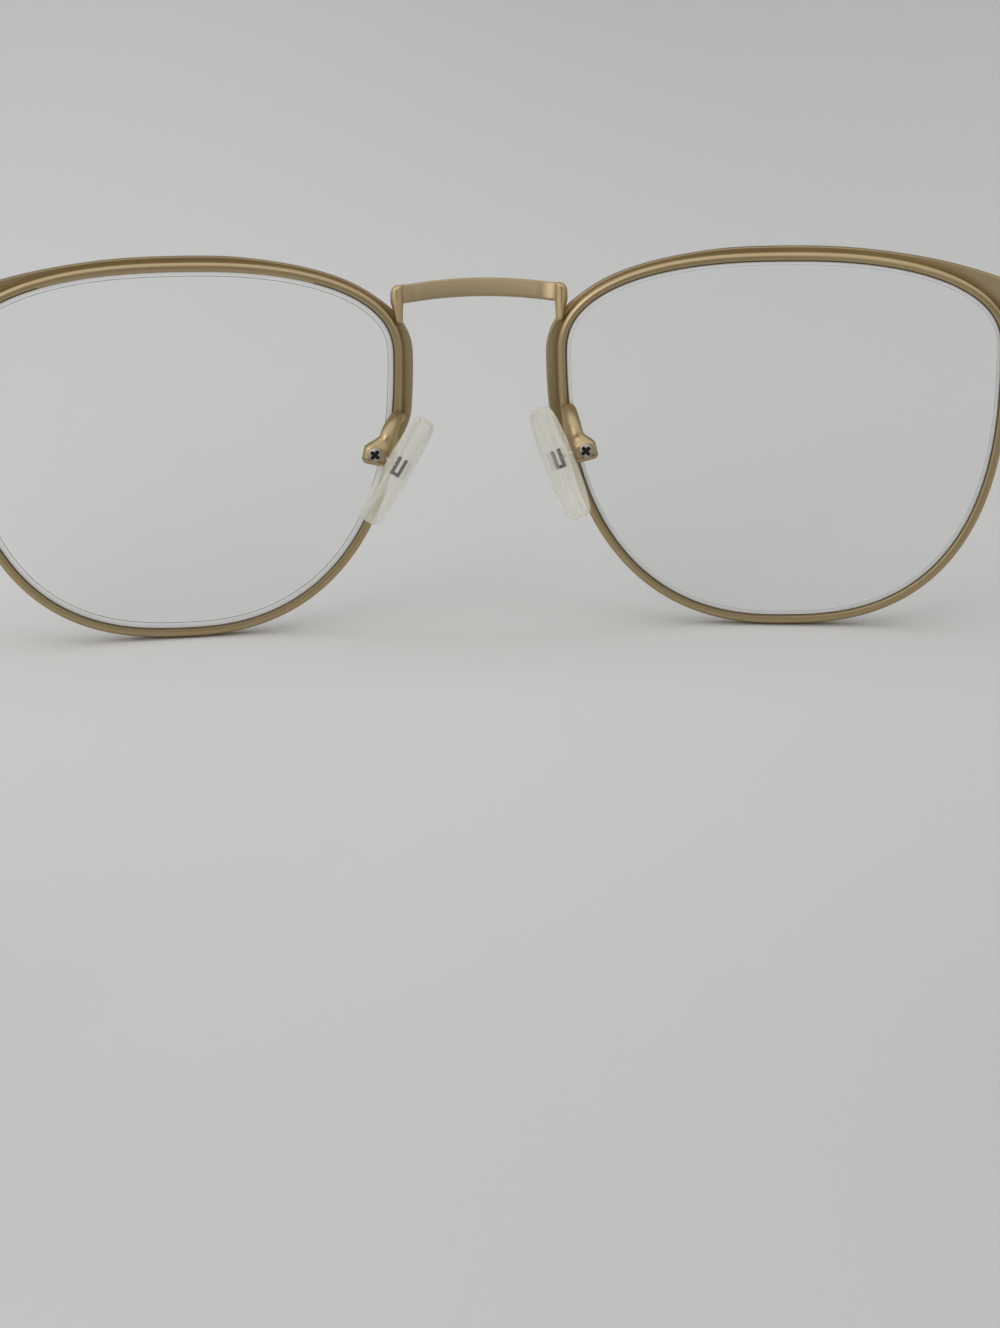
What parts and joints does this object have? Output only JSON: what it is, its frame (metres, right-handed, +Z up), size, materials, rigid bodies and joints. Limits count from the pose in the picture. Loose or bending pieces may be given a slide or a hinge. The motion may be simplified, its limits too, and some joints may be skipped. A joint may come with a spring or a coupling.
{
  "type": "eyeglasses",
  "caption": "Metal panto eyeglasses with clear lenses, a bowed bridge, brow plates, rocking nose pads on screwed boxes, and temples that fold on hinges.",
  "frame": {"origin": "middle of the open glasses, on the surface they stand on", "axes": "+Z up, +X to the wearer's right, +Y the way the wearer looks"},
  "size_m": [0.1352, 0.1492, 0.0437],
  "materials": {
    "gold": "satin champagne plating",
    "screw": "bright turned steel",
    "lens": "clear polished",
    "silicone": "clear soft silicone",
    "acetate": "polished dark brown acetate"
  },
  "bodies": {
    "front": {"bridge": "gold", "left_rim": "gold", "left_lens": "lens", "left_brow_plate": "gold", "left_upper_rim_lock": "gold", "left_lower_rim_lock": "gold", "left_rim_lock_screw": "screw", "left_pad_arm": "gold", "left_pad_screw": "screw", "left_front_hinge_leaf": "gold", "left_hinge_screw": "screw", "right_rim": "gold", "right_lens": "lens", "right_brow_plate": "gold", "right_upper_rim_lock": "gold", "right_lower_rim_lock": "gold", "right_rim_lock_screw": "screw", "right_pad_arm": "gold", "right_pad_screw": "screw", "right_front_hinge_leaf": "gold", "right_hinge_screw": "screw"},
    "left_temple_arm": {"left_temple_hinge_leaf": "gold", "left_temple": "gold", "left_temple_tip": "acetate"},
    "right_temple_arm": {"right_temple_hinge_leaf": "gold", "right_temple": "gold", "right_temple_tip": "acetate"},
    "left_pad": {"left_nose_pad": "silicone", "left_pad_core": "screw"},
    "right_pad": {"right_nose_pad": "silicone", "right_pad_core": "screw"}
  },
  "joints": [
    {"name": "left_temple_fold", "type": "hinge", "parent": "front", "child": "left_temple_arm", "pos_m": [-0.06433, 0.05729, 0.03658], "axis": [0, 0, 1], "range_deg": [0, 90]},
    {"name": "right_temple_fold", "type": "hinge", "parent": "front", "child": "right_temple_arm", "pos_m": [0.06433, 0.05729, 0.03658], "axis": [0, 0, -1], "range_deg": [0, 84]},
    {"name": "left_pad_rock", "type": "hinge", "parent": "front", "child": "left_pad", "pos_m": [-0.01245, 0.06439, 0.02205], "axis": [0, 0.9903, -0.1392], "range_deg": [-13.5, 2.5]},
    {"name": "right_pad_rock", "type": "hinge", "parent": "front", "child": "right_pad", "pos_m": [0.01175, 0.06439, 0.02205], "axis": [0, 0.9903, -0.1392], "range_deg": [-13.5, 2.5]}
  ]
}
